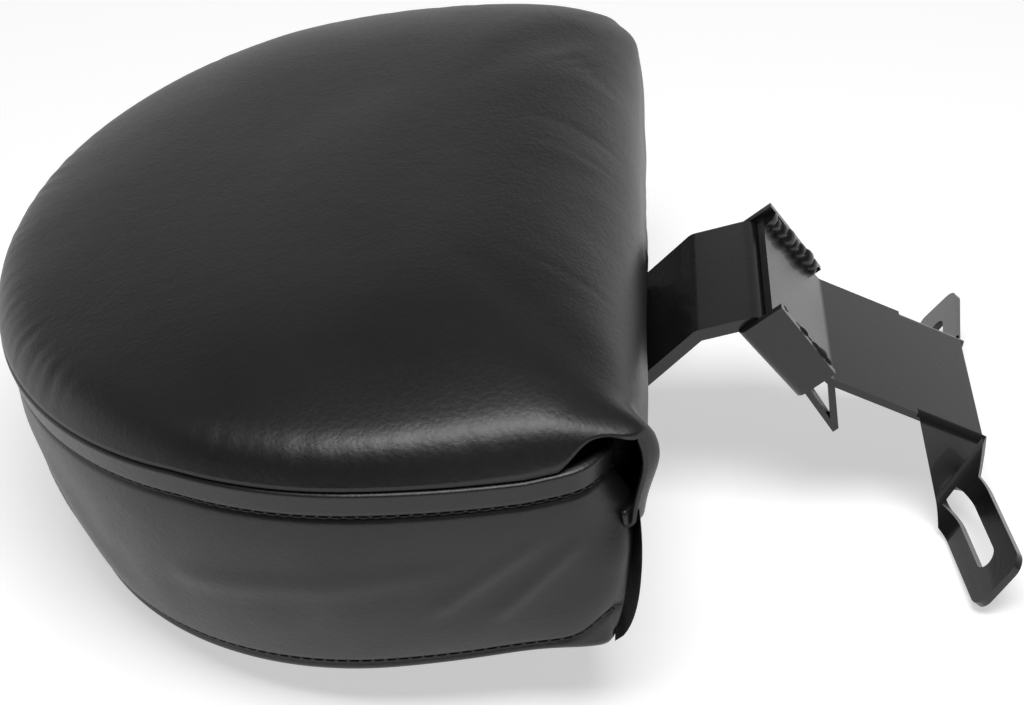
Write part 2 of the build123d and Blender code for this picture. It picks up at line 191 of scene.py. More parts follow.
class Finish:
    """A material, or the world, whose nodes are added one by one."""

    def __init__(self, owner):
        owner.use_nodes = True
        self.owner = owner
        self.tree = owner.node_tree
        self.tree.nodes.clear()

    def node(self, kind, settings=None, inputs=None, output=0):
        """A node of one type with its settings, and values or links for its sockets."""
        made = self.tree.nodes.new(kind)
        for name, setting in (settings or {}).items():
            setattr(made, name, setting)
        for name, given in (inputs or {}).items():
            if isinstance(given, Value):
                self.tree.links.new(given.socket, made.inputs[name])
            else:
                made.inputs[name].default_value = given
        return Value(self, made.outputs[output]) if made.outputs else None

    def place(self):
        """The place on the object, in metres."""
        return self.node("ShaderNodeTexCoord", output="Object")

    def clouds(self, place, per_metre, detail=2.0):
        """Noise with the given number of lumps to a metre."""
        return self.node("ShaderNodeTexNoise", None, {"Vector": place, "Scale": per_metre, "Detail": detail})

    def cells(self, place, per_metre):
        """Rounded cells, with the given number to a metre."""
        settings = {"feature": "SMOOTH_F1"}
        return self.node("ShaderNodeTexVoronoi", settings, {"Vector": place, "Scale": per_metre})

    def between(self, amount, low, high):
        """A colour that goes from one to another as a value goes from 0 to 1."""
        return self.node("ShaderNodeMix", {"data_type": "RGBA"}, {0: amount, 6: (*low, 1), 7: (*high, 1)}, 2)

    def bump(self, height, strength, distance):
        """A normal that follows a height, which is given as a share of a distance in metres."""
        inputs = {"Height": height, "Strength": strength, "Distance": distance}
        return self.node("ShaderNodeBump", None, inputs)

    def principled(self, **inputs):
        """The material's surface, with its inputs named in words joined by underscores."""
        named = {name.replace("_", " ").title(): given for name, given in inputs.items()}
        shader = self.node("ShaderNodeBsdfPrincipled", None, named)
        self.node("ShaderNodeOutputMaterial", None, {"Surface": shader})
        return self.owner


def new_finish(name):
    """An empty material, ready for its nodes."""
    return Finish(bpy.data.materials.new(name))


foam_finish = new_finish("charcoal_foam")
foam_cells = foam_finish.cells(foam_finish.place(), per_metre=900.0)
foam_material = foam_finish.principled(
    base_color=foam_finish.between(foam_cells, FOAM_DARK, FOAM_PALE),
    roughness=0.95,
    normal=foam_finish.bump(foam_cells, strength=0.6, distance=0.0006),
)

foam_rows = []
for z, edge_x in FOAM_WALL:
    inset = FOAM_INSET + BAND_LEAN * below_seam(z)
    corner = SQUARE_CORNER if z < FOAM_CORNER_FROM else FOAM_CORNER
    foam_rows.append(at_height(half_moon(inset, edge_x, corner), z))
for share in FOAM_SHARES:
    edge_x = -FOAM_EDGE_INSET - CROWN_EDGE_REACH * share
    loop = half_moon(FOAM_INSET + CROWN_REACH * share, edge_x, FOAM_CORNER)
    foam_rows.append(at_height(loop, FOAM_TOP + FOAM_CROWN * crown_rise(share, FOAM_POWER)))
foam_faces = grid_faces(len(foam_rows), LOOP_POINTS, True)
foam_faces.append(row_face(0))
foam_faces.append(row_face(len(foam_rows) - 1))
foam = mesh_piece("foam_block", in_row(np.concatenate(foam_rows)), foam_faces)


def dress(piece, material, replaced):
    """Gives a soft piece its material and its ride on the backrest, and hides the CAD solid it stands for.
    """
    piece.data.materials.append(material)
    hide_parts(replaced)
    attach(piece, "backrest")


dress(foam, foam_material, "foam_core")

# Back panel: the flat back of the cover, in black leather-grain vinyl.
# It rolls into the band's lower seam, and its flap runs up the straight side, notched for the bar.

EDGE_LEAN = 14.0
ROUND_CORNER = 70
CORNER_FLARE = 5.0
FLARE_ON_CURVE = 18.0
FLARE_ON_EDGE = 5.0
BACK_ROLL = [(0.6, 2.4), (0.8, 1.2), (1.8, 0.4), (4.5, 0.1)]
EDGE_ROLL_SHARE = 1 / 3
BACK_SHARES = [0.15, 0.35, 0.6, 1.0]
BACK_FLAP_HEIGHT = 45.0
BACK_FLAP_HALF = 127.0
BACK_FLAP_ROWS = 28
BACK_FLAP_COLUMNS = 127
BACK_FLAP_SLACK = 0.6
BACK_FLAP_BULGE = 5.2
BACK_FLAP_LOOSE_END = 30.0
BACK_FLAP_TURN = 0.8 * pi
BACK_FLAP_TURN_POWER = 0.55
BACK_FLAP_RIPPLE = 0.5
BACK_FLAP_LUMPS = (0.035, 0.05)
NOTCH_HALF = 33.0
NOTCH_LOW = 8.5
LEATHER_DARK = (0.006, 0.006, 0.0062)
LEATHER_PALE = (0.01, 0.01, 0.0104)

leather_finish = new_finish("black_grain_leather")
place = leather_finish.place()
pebbles = leather_finish.cells(place, per_metre=780.0)
pores = leather_finish.clouds(place, per_metre=2100.0)
folds = leather_finish.clouds(place, per_metre=120.0, detail=4.0)
patches = leather_finish.clouds(place, per_metre=26.0, detail=3.0)
grain = pebbles * 0.6 + pores * 0.3 + folds * 1.2
leather_material = leather_finish.principled(
    base_color=leather_finish.between(patches, LEATHER_DARK, LEATHER_PALE),
    roughness=0.33 + patches * 0.1 + pebbles * 0.06,
    normal=leather_finish.bump(grain, strength=0.19, distance=0.0005),
)


def edge_line(z):
    """X of the cover's straight side at a height: it leans in towards the back."""
    return -EDGE_LEAN * below_seam(z)


def bell(distance, spread):
    """1 at a place, falling off with the distance from it."""
    return np.exp(-((distance / spread) ** 2))


def drift(place, lumps, layer):
    """Smooth noise from -1 to 1, with a number of lumps to a millimetre each way, on a layer of its own."""
    return noise.noise(Vector((place[0] * lumps[0], place[1] * lumps[1], layer)))


# Distance of each column of the outline from the nearest corner, on its own side of that corner
outline = half_moon(0, 0, SQUARE_CORNER)
curve_along = distances(outline[:CURVE_POINTS])
edge_along = distances(outline[CURVE_POINTS:])
curve_to_corner = np.minimum(curve_along, curve_along[-1] - curve_along)
edge_to_corner = np.minimum(edge_along, edge_along[-1] - edge_along)
to_corner = np.concatenate([curve_to_corner, edge_to_corner])
flare_share = np.concatenate([bell(curve_to_corner, FLARE_ON_CURVE), bell(edge_to_corner, FLARE_ON_EDGE)])


def flared(loop):
    """An outline with its two square corners drawn outwards along the straight side."""
    sideways = np.sign(loop[:, 1]) * flare_share * CORNER_FLARE
    return loop + np.column_stack([np.zeros(LOOP_POINTS), sideways])


back_rows = []
for inset, z in BACK_ROLL:
    loop = half_moon(BAND_LEAN + inset, edge_line(0) - inset * EDGE_ROLL_SHARE, SQUARE_CORNER)
    back_rows.append(at_height(flared(loop), z))
flat_inset, flat_z = BACK_ROLL[-1]
for share in BACK_SHARES:
    inset = BAND_LEAN + flat_inset + CROWN_REACH * share
    loop = half_moon(inset, edge_line(0) - CROWN_EDGE_REACH * share, ROUND_CORNER)
    back_rows.append(at_height(loop, flat_z))
back_points = np.concatenate(back_rows)
back_faces = grid_faces(len(back_rows), LOOP_POINTS, True)
back_faces.append(row_face(len(back_rows) - 1))


def back_flap_point(y, z):
    """The flap lies on the foam in the middle, and stands off it towards its two loose ends."""
    rise = z / BACK_FLAP_HEIGHT
    bulge = BACK_FLAP_SLACK + BACK_FLAP_BULGE * bell(BACK_FLAP_HALF - abs(y), BACK_FLAP_LOOSE_END)
    profile = sin(BACK_FLAP_TURN * rise**BACK_FLAP_TURN_POWER)
    ripple = BACK_FLAP_RIPPLE * drift((y, z), BACK_FLAP_LUMPS, layer=3.0) * rise
    return edge_line(z) + bulge * profile + ripple, y, z


flap_y = np.linspace(-BACK_FLAP_HALF, BACK_FLAP_HALF, BACK_FLAP_COLUMNS)
flap_z = np.linspace(0, BACK_FLAP_HEIGHT, BACK_FLAP_ROWS)
back_flap_points = [back_flap_point(y, z) for z in flap_z for y in flap_y]
flap_start = len(back_points)
for face in grid_faces(BACK_FLAP_ROWS, BACK_FLAP_COLUMNS, False):
    middle_y, middle_z = np.mean([back_flap_points[i][1:] for i in face], axis=0)
    if abs(middle_y) > NOTCH_HALF or middle_z < NOTCH_LOW:
        back_faces.append(tuple(flap_start + i for i in face))
used = sorted({i for face in back_faces for i in face})
renumbered = {old: new for new, old in enumerate(used)}
back_points = np.concatenate([back_points, back_flap_points])[used]
back_faces = [tuple(renumbered[i] for i in face) for face in back_faces]
back_panel = mesh_piece("cover_back", in_row(back_points), back_faces)
dress(back_panel, leather_material, "cover_back_panel")

# Side band: one long strip of the same vinyl, sewn to both panels round the curved side.
# Its top edge is folded and topstitched, and it swells a little between its two rows of stitches.
# Its two ends aren't sewn to the flaps: each stands open at its corner and curls in.

LEATHER_THICKNESS = 1.4
BAND_CORNER = 48
LOW_CORNER = 12
SEAM_LOW = 65.5
SEAM_SLOPE = 0.1
SEAM_SLOPE_FROM = 30.0
SEAM_SLOPE_TO = 125.0
FOLDED_EDGE = 8.8
TOPSTITCH = BAND_HEIGHT - FOLDED_EDGE
LOW_STITCH = 4.8
LOW_STITCH_RISE = 10.0
GROOVE_HALF = 1.0
BAND_STAND_OFF = 0.3
BAND_SWELL = 2.2
BAND_SWELL_POWER = 3.2
FOLD_STAND_OFF = 0.4
FOLD_EASE = 1.5
LOW_ROLL = 0.35
LOW_ROLL_FROM = 3.2
TOP_ROLL = 1.1
TOP_ROLL_FROM = BAND_HEIGHT - 1.0
BAND_END = 9.0
BAND_PAST_CORNER = 6
CURL_FROM = 32.0
CURL_OVER = 32.0
CURL_IN = 11.0
SLANT_COLUMNS = 10
SLANT_FADE_COLUMNS = 20
SLANT_FROM = 38.0
SLANT_OVER = 26.0
BROAD_SLACK = 1.1
BROAD_LUMPS = (0.02, 0.03)
LEANING_SLACK = 0.5
LEANING_LUMPS = (0.06, 0.05)
LEAN_ALONG = 2 / 3
LEAN_UP = 1 / 5
SLACK_FROM_END = 12.0
STITCH_PITCH = 3.6
STITCH_LENGTH = 3.0
STITCH_LIFT = 0.35
THREAD = 0.42
THREAD_DARK = (0.004, 0.004, 0.004)
THREAD_PALE = (0.012, 0.012, 0.012)

# Creases: both ends, as distance from the near corner and height up the band, then how high and wide
BAND_CREASES = [
    ((262.0, 56.0), (214.0, 22.0), 1.5, 4.5),
    ((222.0, 60.0), (176.0, 16.0), 1.2, 9.0),
    ((18.0, 40.0), (34.0, 24.0), 0.9, 3.0),
    ((30.0, 44.0), (52.0, 28.0), 0.7, 3.0),
    ((60.0, 40.0), (130.0, 33.0), 0.6, 4.0),
    ((330.0, 52.0), (372.0, 20.0), 1.2, 6.0),
    ((450.0, 50.0), (420.0, 20.0), 1.0, 5.0),
]

# Rows of points down the band, as first level, last level and count: closest at its edges and stitches
BAND_SPANS = [
    (BAND_HEIGHT + 0.6, BAND_HEIGHT - 1.4, 7),
    (BAND_HEIGHT - 2.4, TOPSTITCH - 2.6, 18),
    (TOPSTITCH - 4.2, 20.0, 26),
    (18.8, 0.5, 24),
]


def smooth(share):
    """A share cut to 0 to 1, with an easy start and end."""
    s = np.clip(share, 0, 1)
    return s * s * (3 - 2 * s)


def outward(loop):
    """Unit directions that point out of a closed outline, which runs clockwise seen from above."""
    tangent = np.roll(loop, -1, 0) - np.roll(loop, 1, 0)
    normal = np.stack([-tangent[:, 1], tangent[:, 0]], axis=1)
    return normal / np.linalg.norm(normal, axis=1)[:, None]


def seam_height(x):
    """Height of the front seam, which runs a little lower towards the straight side."""
    return SEAM_LOW + SEAM_SLOPE * (np.clip(-x, SEAM_SLOPE_FROM, SEAM_SLOPE_TO) - SEAM_SLOPE_FROM)


def crease(point, start, end, height, width):
    """A soft ridge along a line that fades out at both of its ends."""
    run = np.subtract(end, start)
    length = np.linalg.norm(run)
    offset = np.subtract(point, start)
    along = offset.dot(run) / length
    across = (offset[0] * run[1] - offset[1] * run[0]) / length
    past_end = max(0.0, -along, along - length)
    return height * bell(across, width) * bell(past_end, 2 * width)


def band_slack(along, z):
    """Broad dents and a few leaning creases, strongest half way between the rows of stitches."""
    share = (z - LOW_STITCH) / (TOPSTITCH - LOW_STITCH)
    if not 0 < share < 1:
        return 0.0
    broad = drift((along, z), BROAD_LUMPS, layer=7.3)
    leaning = drift((along + z * LEAN_ALONG, z - along * LEAN_UP), LEANING_LUMPS, layer=1.7)
    lines = sum(crease((along, z), *line) for line in BAND_CREASES)
    return sin(pi * share) * (BROAD_SLACK * broad + LEANING_SLACK * leaning + lines)


low_loop = flared(half_moon(BAND_LEAN, edge_line(0), LOW_CORNER))
square_top = half_moon(0, 0, BAND_CORNER)
round_top = half_moon(0, 0, ROUND_CORNER)
seam_heights = seam_height(outline[:, 0])
end_share = bell(to_corner, BAND_END)
low_stitch_line = np.full(LOOP_POINTS, LOW_STITCH)
low_stitch_line[:CURVE_POINTS] += LOW_STITCH_RISE * end_share[:CURVE_POINTS]


def band_line(level, lift=0.0):
    """The band's outer face along one line, at a level for each column from 0 to the band's height."""
    z = np.broadcast_to(level, LOOP_POINTS)
    curl = smooth((z - CURL_FROM) / CURL_OVER)[:, None]
    top = square_top + (round_top - square_top) * curl
    loop = low_loop + (top - low_loop) * (z / BAND_HEIGHT)[:, None]
    share = (z - low_stitch_line) / (TOPSTITCH - low_stitch_line)
    cushion = BAND_STAND_OFF + BAND_SWELL * (1 - np.abs(2 * np.clip(share, 0, 1) - 1) ** BAND_SWELL_POWER)
    fold = FOLD_STAND_OFF * smooth((z - TOPSTITCH) / FOLD_EASE)
    grooves = bell(z - low_stitch_line, GROOVE_HALF) + bell(z - TOPSTITCH, GROOVE_HALF)
    low_roll = LOW_ROLL * np.maximum(0, LOW_ROLL_FROM - z) ** 2
    top_roll = TOP_ROLL * np.maximum(0, z - TOP_ROLL_FROM) ** 2
    stand_off = cushion + fold - grooves - low_roll - top_roll + lift
    slack = np.array([band_slack(a, s) for a, s in zip(curve_along, z)])
    stand_off[:CURVE_POINTS] += slack * np.minimum(1, curve_to_corner / SLACK_FROM_END)
    line = at_height(loop + outward(loop) * stand_off[:, None], z * seam_heights / BAND_HEIGHT)
    line[:, 1] -= CURL_IN * np.sign(line[:, 1]) * curl[:, 0] * end_share
    strip = np.roll(line, BAND_PAST_CORNER, 0)[: CURVE_POINTS + 2 * BAND_PAST_CORNER]
    slant = SLANT_COLUMNS * smooth((z[0] - SLANT_FROM) / SLANT_OVER)
    column = np.arange(len(strip))
    from_start = np.maximum(0, 1 - column / SLANT_FADE_COLUMNS)
    moved = column + slant * (from_start - from_start[::-1])
    return np.stack([np.interp(moved, column, strip[:, i]) for i in range(3)], axis=1)


def add_thickness(piece, thickness):
    """Gives a sewn sheet its thickness, inwards from its outer face."""
    wall = piece.modifiers.new("thickness", "SOLIDIFY")
    wall.thickness = thickness * MM
    wall.offset = -1


band_levels = np.concatenate([np.linspace(*span) for span in BAND_SPANS])
band_rows = [band_line(level) for level in band_levels]
band_faces = grid_faces(len(band_rows), len(band_rows[0]), False)
band = mesh_piece("cover_band", in_row(np.concatenate(band_rows)), band_faces)
add_thickness(band, LEATHER_THICKNESS)
dress(band, leather_material, "cover_side_band")

thread_finish = new_finish("black_thread")
twist = thread_finish.clouds(thread_finish.place(), per_metre=1500.0)
thread_material = thread_finish.principled(
    base_color=thread_finish.between(twist, THREAD_DARK, THREAD_PALE),
    roughness=0.6,
)


def stitch_tree():
    """Geometry Nodes that lay short rounded stitches, end to end, along a line."""
    tree = bpy.data.node_groups.new("stitches", "GeometryNodeTree")
    tree.interface.new_socket("Line", in_out="INPUT", socket_type="NodeSocketGeometry")
    for name in ("Pitch", "Length", "Thread"):
        tree.interface.new_socket(name, in_out="INPUT", socket_type="NodeSocketFloat")
    tree.interface.new_socket("Material", in_out="INPUT", socket_type="NodeSocketMaterial")
    tree.interface.new_socket("Stitches", in_out="OUTPUT", socket_type="NodeSocketGeometry")
    add = tree.nodes.new
    link = tree.links.new
    given = add("NodeGroupInput")
    curve = add("GeometryNodeMeshToCurve")
    spaced = add("GeometryNodeResampleCurve")
    spaced.mode = "LENGTH"
    bead = add("GeometryNodeMeshUVSphere")
    bead.inputs["Segments"].default_value = 8
    bead.inputs["Rings"].default_value = 6
    bead.inputs["Radius"].default_value = 1.0
    size = add("ShaderNodeCombineXYZ")
    stretched = add("GeometryNodeTransform")
    tangent = add("GeometryNodeInputTangent")
    turned = add("FunctionNodeAlignRotationToVector")
    turned.axis = "X"
    copies = add("GeometryNodeInstanceOnPoints")
    real = add("GeometryNodeRealizeInstances")
    finish = add("GeometryNodeSetMaterial")
    result = add("NodeGroupOutput")
    link(given.outputs["Line"], curve.inputs["Mesh"])
    link(curve.outputs["Curve"], spaced.inputs["Curve"])
    link(given.outputs["Pitch"], spaced.inputs["Length"])
    link(given.outputs["Length"], size.inputs["X"])
    link(given.outputs["Thread"], size.inputs["Y"])
    link(given.outputs["Thread"], size.inputs["Z"])
    link(bead.outputs["Mesh"], stretched.inputs["Geometry"])
    link(size.outputs["Vector"], stretched.inputs["Scale"])
    link(tangent.outputs["Tangent"], turned.inputs["Vector"])
    link(spaced.outputs["Curve"], copies.inputs["Points"])
    link(stretched.outputs["Geometry"], copies.inputs["Instance"])
    link(turned.outputs["Rotation"], copies.inputs["Rotation"])
    link(copies.outputs["Instances"], real.inputs["Geometry"])
    link(real.outputs["Geometry"], finish.inputs["Geometry"])
    link(given.outputs["Material"], finish.inputs["Material"])
    link(finish.outputs["Geometry"], result.inputs["Stitches"])
    return tree


def sew(name, lines):
    """Stitches along several lines, as one piece that rides with the cover."""
    points = np.concatenate(lines)
    edges = []
    first = 0
    for line in lines:
        edges += [(i, i + 1) for i in range(first, first + len(line) - 1)]
        first += len(line)
    guide = bpy.data.meshes.new(name + "_line")
    guide.from_pydata([tuple(p) for p in points], edges, [])
    row = bpy.data.objects.new(name, guide)
    scene.collection.objects.link(row)
    needle = row.modifiers.new("stitches", "NODES")
    needle.node_group = stitch_tree()
    sizes = {
        "Pitch": STITCH_PITCH * MM,
        "Length": STITCH_LENGTH / 2 * MM,
        "Thread": THREAD * MM,
        "Material": thread_material,
    }
    for socket in needle.node_group.interface.items_tree:
        if socket.name in sizes:
            needle[socket.identifier] = sizes[socket.name]
    sewn = row.evaluated_get(bpy.context.evaluated_depsgraph_get())
    mesh = bpy.data.meshes.new_from_object(sewn)
    row.modifiers.remove(needle)
    row.data = mesh
    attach(row, "backrest")


sew("band_stitches", [in_row(band_line(level, STITCH_LIFT)) for level in (TOPSTITCH, low_stitch_line)])

# Front panel: the domed face of the cover, drawn tight over the foam and gathered into its seam.
# On the straight side it isn't sewn: it hangs down as a loose flap with a turned hem.

CROWN = 25.0
CROWN_TOP = BAND_HEIGHT + CROWN
ROLL_RISE = 5.0
SEAM_ROLL = [(3.5, -3.0), (2.9, -1.2), (2.1, 0.6), (1.2, 2.3), (0.5, 3.8), (0.0, ROLL_RISE)]
CROWN_SHARES = [0.006, 0.011, 0.018, 0.027, 0.038, 0.052, 0.068, 0.088, 0.11, 0.135, 0.165, 0.2, 0.24, 0.29,
                0.35, 0.42, 0.5, 0.6, 0.72, 0.86, 1.0]
INNER_RINGS = 6
EASE_INWARDS = 3000
EASE_SIDES = 600
ROUND_FROM = 0.1
SEWN_FROM = 9.0
SEWN_OVER = 13.0
FAR_SEWN_OVER = 8.0
HOOD_RISE = 1.0
HOOD_SHARE = 0.028
HOOD_CORNER_SHARE = 0.016
HOOD_ON_EDGE = 6.0
HOOD_PAST_CORNER = 8.0
FOLD_HEIGHT = 56.0
FOLD_OUT = 1.0
NEAR_FOLD_OVER = 10.0
FAR_FOLD_OVER = 32.0
FREE_STEP = 0.4
LIP = 0.5
CURVE_POWER = 2.8
EDGE_POWER = 2.1
CORNER_SOFT = 0.2
CORNER_SPREAD = 26.0
RIM_FADE = 0.05
FAR_FROM = -0.7
FAR_OVER = 1.2
NEAR_ROLL = 0.8
NEAR_FLANK = 10.0
NEAR_TURN = 5.0
NEAR_POWER = 2.2

# How far each column is sewn down. Its edge is free in the corners and along the straight side
sewn_down = np.zeros(LOOP_POINTS)
near_sewn = smooth((curve_along - SEWN_FROM) / SEWN_OVER)
sewn_down[:CURVE_POINTS] = near_sewn * smooth((curve_along[-1] - curve_along) / FAR_SEWN_OVER)
past_corner = np.zeros(LOOP_POINTS)
past_corner[:CURVE_POINTS] = smooth(curve_to_corner / HOOD_PAST_CORNER)
hooded = 1 - sewn_down
hooded[CURVE_POINTS:] = bell(edge_to_corner, HOOD_ON_EDGE)
free_share = (HOOD_CORNER_SHARE + (HOOD_SHARE - HOOD_CORNER_SHARE) * past_corner) * hooded

# The crown rolls over the seam on the far side, leans back from it on the near side,
# and turns gently down into the flap on the straight side
facing = eased(outward(outline), EASE_SIDES)
far_share = smooth((facing[:, 1] - FAR_FROM) / FAR_OVER)
edge_share = smooth(facing[:, 0])
near_share = (1 - far_share) * (1 - edge_share)
corner_share = bell(to_corner, CORNER_SPREAD)
crown_powers = CURVE_POWER + (EDGE_POWER - CURVE_POWER) * edge_share - CORNER_SOFT * corner_share
roll_rises = NEAR_ROLL + (ROLL_RISE - NEAR_ROLL) * far_share
crown_start = seam_heights + roll_rises * sewn_down + HOOD_RISE * (1 - sewn_down)
fold_over = np.where(outline[CURVE_POINTS:, 1] > 0, FAR_FOLD_OVER, NEAR_FOLD_OVER)
crown_start[CURVE_POINTS:] += (FOLD_HEIGHT - SEAM_LOW) * (1 - bell(edge_to_corner, fold_over))
body_start = eased(crown_start[:, None], EASE_SIDES)[:, 0]

# Outlines that shrink and round off towards the middle, closest together near the seam
loop_shares = np.concatenate([np.linspace(0, 0.2, 21), np.linspace(0.24, 1, 20)])
crown_loops = []
for share in loop_shares:
    far_corner = ROUND_CORNER + int(EASE_INWARDS * share)
    near_corner = SQUARE_CORNER + int((far_corner - SQUARE_CORNER) * smooth(share / ROUND_FROM))
    edge_x = FOLD_OUT - (FOLD_OUT + CROWN_EDGE_REACH) * share
    crown_loops.append(half_moon(CROWN_REACH * share, edge_x, near_corner, far_corner))
crown_loops = np.array(crown_loops)

# The cover swells over the foam, which is pushed up inside it: the settings of the cloth
SWELL_VOXEL = 5.0
SWELL_PRESSURE = 4.0
SWELL_CAP = 5.0
SWELL_FRAMES = 20
SWELL_START = 0.9
SWELL_NEIGHBOURS = 40
SWELL_SPREAD = 2 * SWELL_VOXEL
LOOSE_FROM = 4.0
LOOSE_OVER = 14.0


def crown_row(share):
    """A row of the crown, at a share of the way in from each column's edge, sewn or free."""
    shares = free_share + (1 - free_share) * share
    last = np.clip(np.searchsorted(loop_shares, shares, "right"), 1, len(loop_shares) - 1)
    mix = ((shares - loop_shares[last - 1]) / (loop_shares[last] - loop_shares[last - 1]))[:, None]
    columns = np.arange(LOOP_POINTS)
    loop = crown_loops[last - 1, columns] * (1 - mix) + crown_loops[last, columns] * mix
    start = body_start + (crown_start - body_start) * np.exp(-shares / RIM_FADE)
    height = CROWN_TOP - SWELL_START - start
    rolled = height * crown_rise(shares, crown_powers)
    leaning = NEAR_FLANK * np.tanh(CROWN_REACH * shares / NEAR_TURN)
    leaning += (height - NEAR_FLANK) * (1 - (1 - shares) ** NEAR_POWER)
    return at_height(loop, start + rolled + (leaning - rolled) * near_share)


first_row = crown_row(0)
lip_share = (1 - sewn_down) * past_corner
directions = outward(outline)
dome_rows = []
for inset, rise in SEAM_ROLL:
    tuck = (inset * sewn_down + LIP * inset * lip_share)[:, None]
    drop = (1 - rise / ROLL_RISE) * roll_rises * sewn_down + FREE_STEP * inset * (1 - sewn_down)
    dome_rows.append(at_height(first_row[:, :2] - directions * tuck, first_row[:, 2] - drop))
for share in CROWN_SHARES:
    dome_rows.append(crown_row(share))
rim = dome_rows[-1]
middle = rim.mean(axis=0)
for ring in range(1, INNER_RINGS):
    dome_rows.append(rim + (middle - rim) * ring / INNER_RINGS)
dome_points = np.concatenate([*dome_rows, [middle]])
dome_faces = grid_faces(len(dome_rows), LOOP_POINTS, True)
inner_row = row_face(len(dome_rows) - 1)
pole = len(dome_points) - 1
for first, second in zip(inner_row, inner_row[1:] + inner_row[:1]):
    dome_faces.append((first, second, pole))


def swelling(block, held_below):
    """Points all over a soft block, and how far each goes as its cover swells over the pushed-up foam."""
    cushion = bpy.data.objects.new("cushion", block.data.copy())
    scene.collection.objects.link(cushion)
    even = cushion.modifiers.new("even", "REMESH")
    even.mode = "VOXEL"
    even.voxel_size = SWELL_VOXEL * MM
    cushion.data = bpy.data.meshes.new_from_object(
        cushion.evaluated_get(bpy.context.evaluated_depsgraph_get())
    )
    cushion.modifiers.remove(even)
    start = np.array([tuple(v.co) for v in cushion.data.vertices])
    held = cushion.vertex_groups.new(name="held")
    held.add([i for i, point in enumerate(start) if point[2] < held_below(point[0])], 1.0, "REPLACE")
    cloth = cushion.modifiers.new("swell", "CLOTH")
    cloth.settings.vertex_group_mass = held.name
    cloth.settings.use_pressure = True
    cloth.settings.uniform_pressure_force = SWELL_PRESSURE
    cloth.settings.effector_weights.gravity = 0
    cloth.point_cache.frame_start = 1
    cloth.point_cache.frame_end = SWELL_FRAMES
    for step in range(1, SWELL_FRAMES + 1):
        scene.frame_set(step)
    swollen = cushion.evaluated_get(bpy.context.evaluated_depsgraph_get())
    shift = np.array([tuple(v.co) for v in swollen.data.vertices]) - start
    scene.frame_set(1)
    bpy.data.objects.remove(cushion)
    reach = np.linalg.norm(shift, axis=1)[:, None]
    return start, shift * SWELL_CAP * MM / np.maximum(SWELL_CAP * MM, reach)


def seam_in_row(x):
    """Height of the seam's plane over the floor, at a place along the row frame's X."""
    return (PAD_ORIGIN_Z + BAND_HEIGHT) * MM + (x - PAD_ORIGIN_X * MM) * sin(REST_TILT)


dome_rise = dome_points[:, 2] - np.append(np.tile(seam_heights, len(dome_rows)), SEAM_LOW)
loose = smooth((dome_rise - LOOSE_FROM) / LOOSE_OVER)
places, shifts = swelling(foam, seam_in_row)
tree = kdtree.KDTree(len(places))
for i, point in enumerate(places):
    tree.insert(point, i)
tree.balance()
for index, point in enumerate(in_row(dome_points)):
    close = tree.find_n(point, SWELL_NEIGHBOURS)
    weights = bell(np.array([gap for _, _, gap in close]), SWELL_SPREAD * MM)
    shift = weights @ shifts[[i for _, i, _ in close]] / weights.sum()
    along = shift[0] * cos(REST_TILT) + shift[2] * sin(REST_TILT)
    up = shift[2] * cos(REST_TILT) - shift[0] * sin(REST_TILT)
    dome_points[index] += np.array([along, shift[1], up]) / MM * loose[index]

# Gathers above the seam, waves along the straight shoulder, and a few creases over it
GATHER_DEPTH = 0.5
GATHER_INSET = 5.0
GATHER_SPREAD = 4.0
GATHER_LEAST = 0.01
GATHER_WANDER = 2.5
WANDER_LUMPS = (0.05, 0.2)
PLEAT_LUMPS = (0.2, 0.03)
PATCH_LUMPS = (0.017, 0.0)
PATCH_SHARE = 0.3
WAVE_HEIGHT = 0.6
WAVE_FROM = -40.0
WAVE_OVER = 25.0
WAVE_RISE = 12.0
WAVE_LUMPS = (0.022, 0.03)
FINE_WAVE_SHARE = 0.5
FINE_WAVE_LUMPS = (0.06, 0.05)
TOP_CREASES = [
    ((-34.0, 92.0), (-8.0, 64.0), -0.3, 1.8),
    ((-26.0, 28.0), (-6.0, 21.0), -0.15, 1.8),
    ((-24.0, 12.0), (-8.0, 6.0), -0.12, 1.8),
    ((-30.0, -60.0), (-8.0, -70.0), -0.12, 2.2),
]
loop_along = distances(outline)


def gather(column, inset):
    """How far the panel stands out of its smooth shape, where it is drawn up in small pleats."""
    place = loop_along[column]
    wander = GATHER_WANDER * drift((column, inset), WANDER_LUMPS, layer=4.0)
    pleat = drift((place + wander, inset), PLEAT_LUMPS, layer=9.0)
    patch = max(0.0, drift((place, 0.0), PATCH_LUMPS, layer=2.0) + PATCH_SHARE)
    return GATHER_DEPTH * patch * pleat * sewn_down[column]


def shoulder_wave(x, y, rise):
    """Soft waves and creases on the shoulder of the straight side, at a rise above the seam."""
    broad = drift((y, x), WAVE_LUMPS, layer=11.0)
    fine = drift((y, x), FINE_WAVE_LUMPS, layer=3.0)
    free = smooth((x - WAVE_FROM) / WAVE_OVER) * smooth(rise / WAVE_RISE)
    lines = sum(crease((x, y), *line) for line in TOP_CREASES)
    return WAVE_HEIGHT * (broad + FINE_WAVE_SHARE * fine) * free + lines


row_shares = CROWN_SHARES + [1.0] * (INNER_RINGS - 1)
for r, share in enumerate(row_shares, len(SEAM_ROLL)):
    inset = CROWN_REACH * share
    gathered = bell(inset - GATHER_INSET, GATHER_SPREAD)
    for c in range(LOOP_POINTS):
        point = dome_points[r * LOOP_POINTS + c]
        if gathered > GATHER_LEAST:
            point += gathered * gather(c, inset) * np.array([*directions[c], 1.0])
        x, y, z = point
        if x > WAVE_FROM:
            point[2] += shoulder_wave(x, y, z - seam_heights[c])

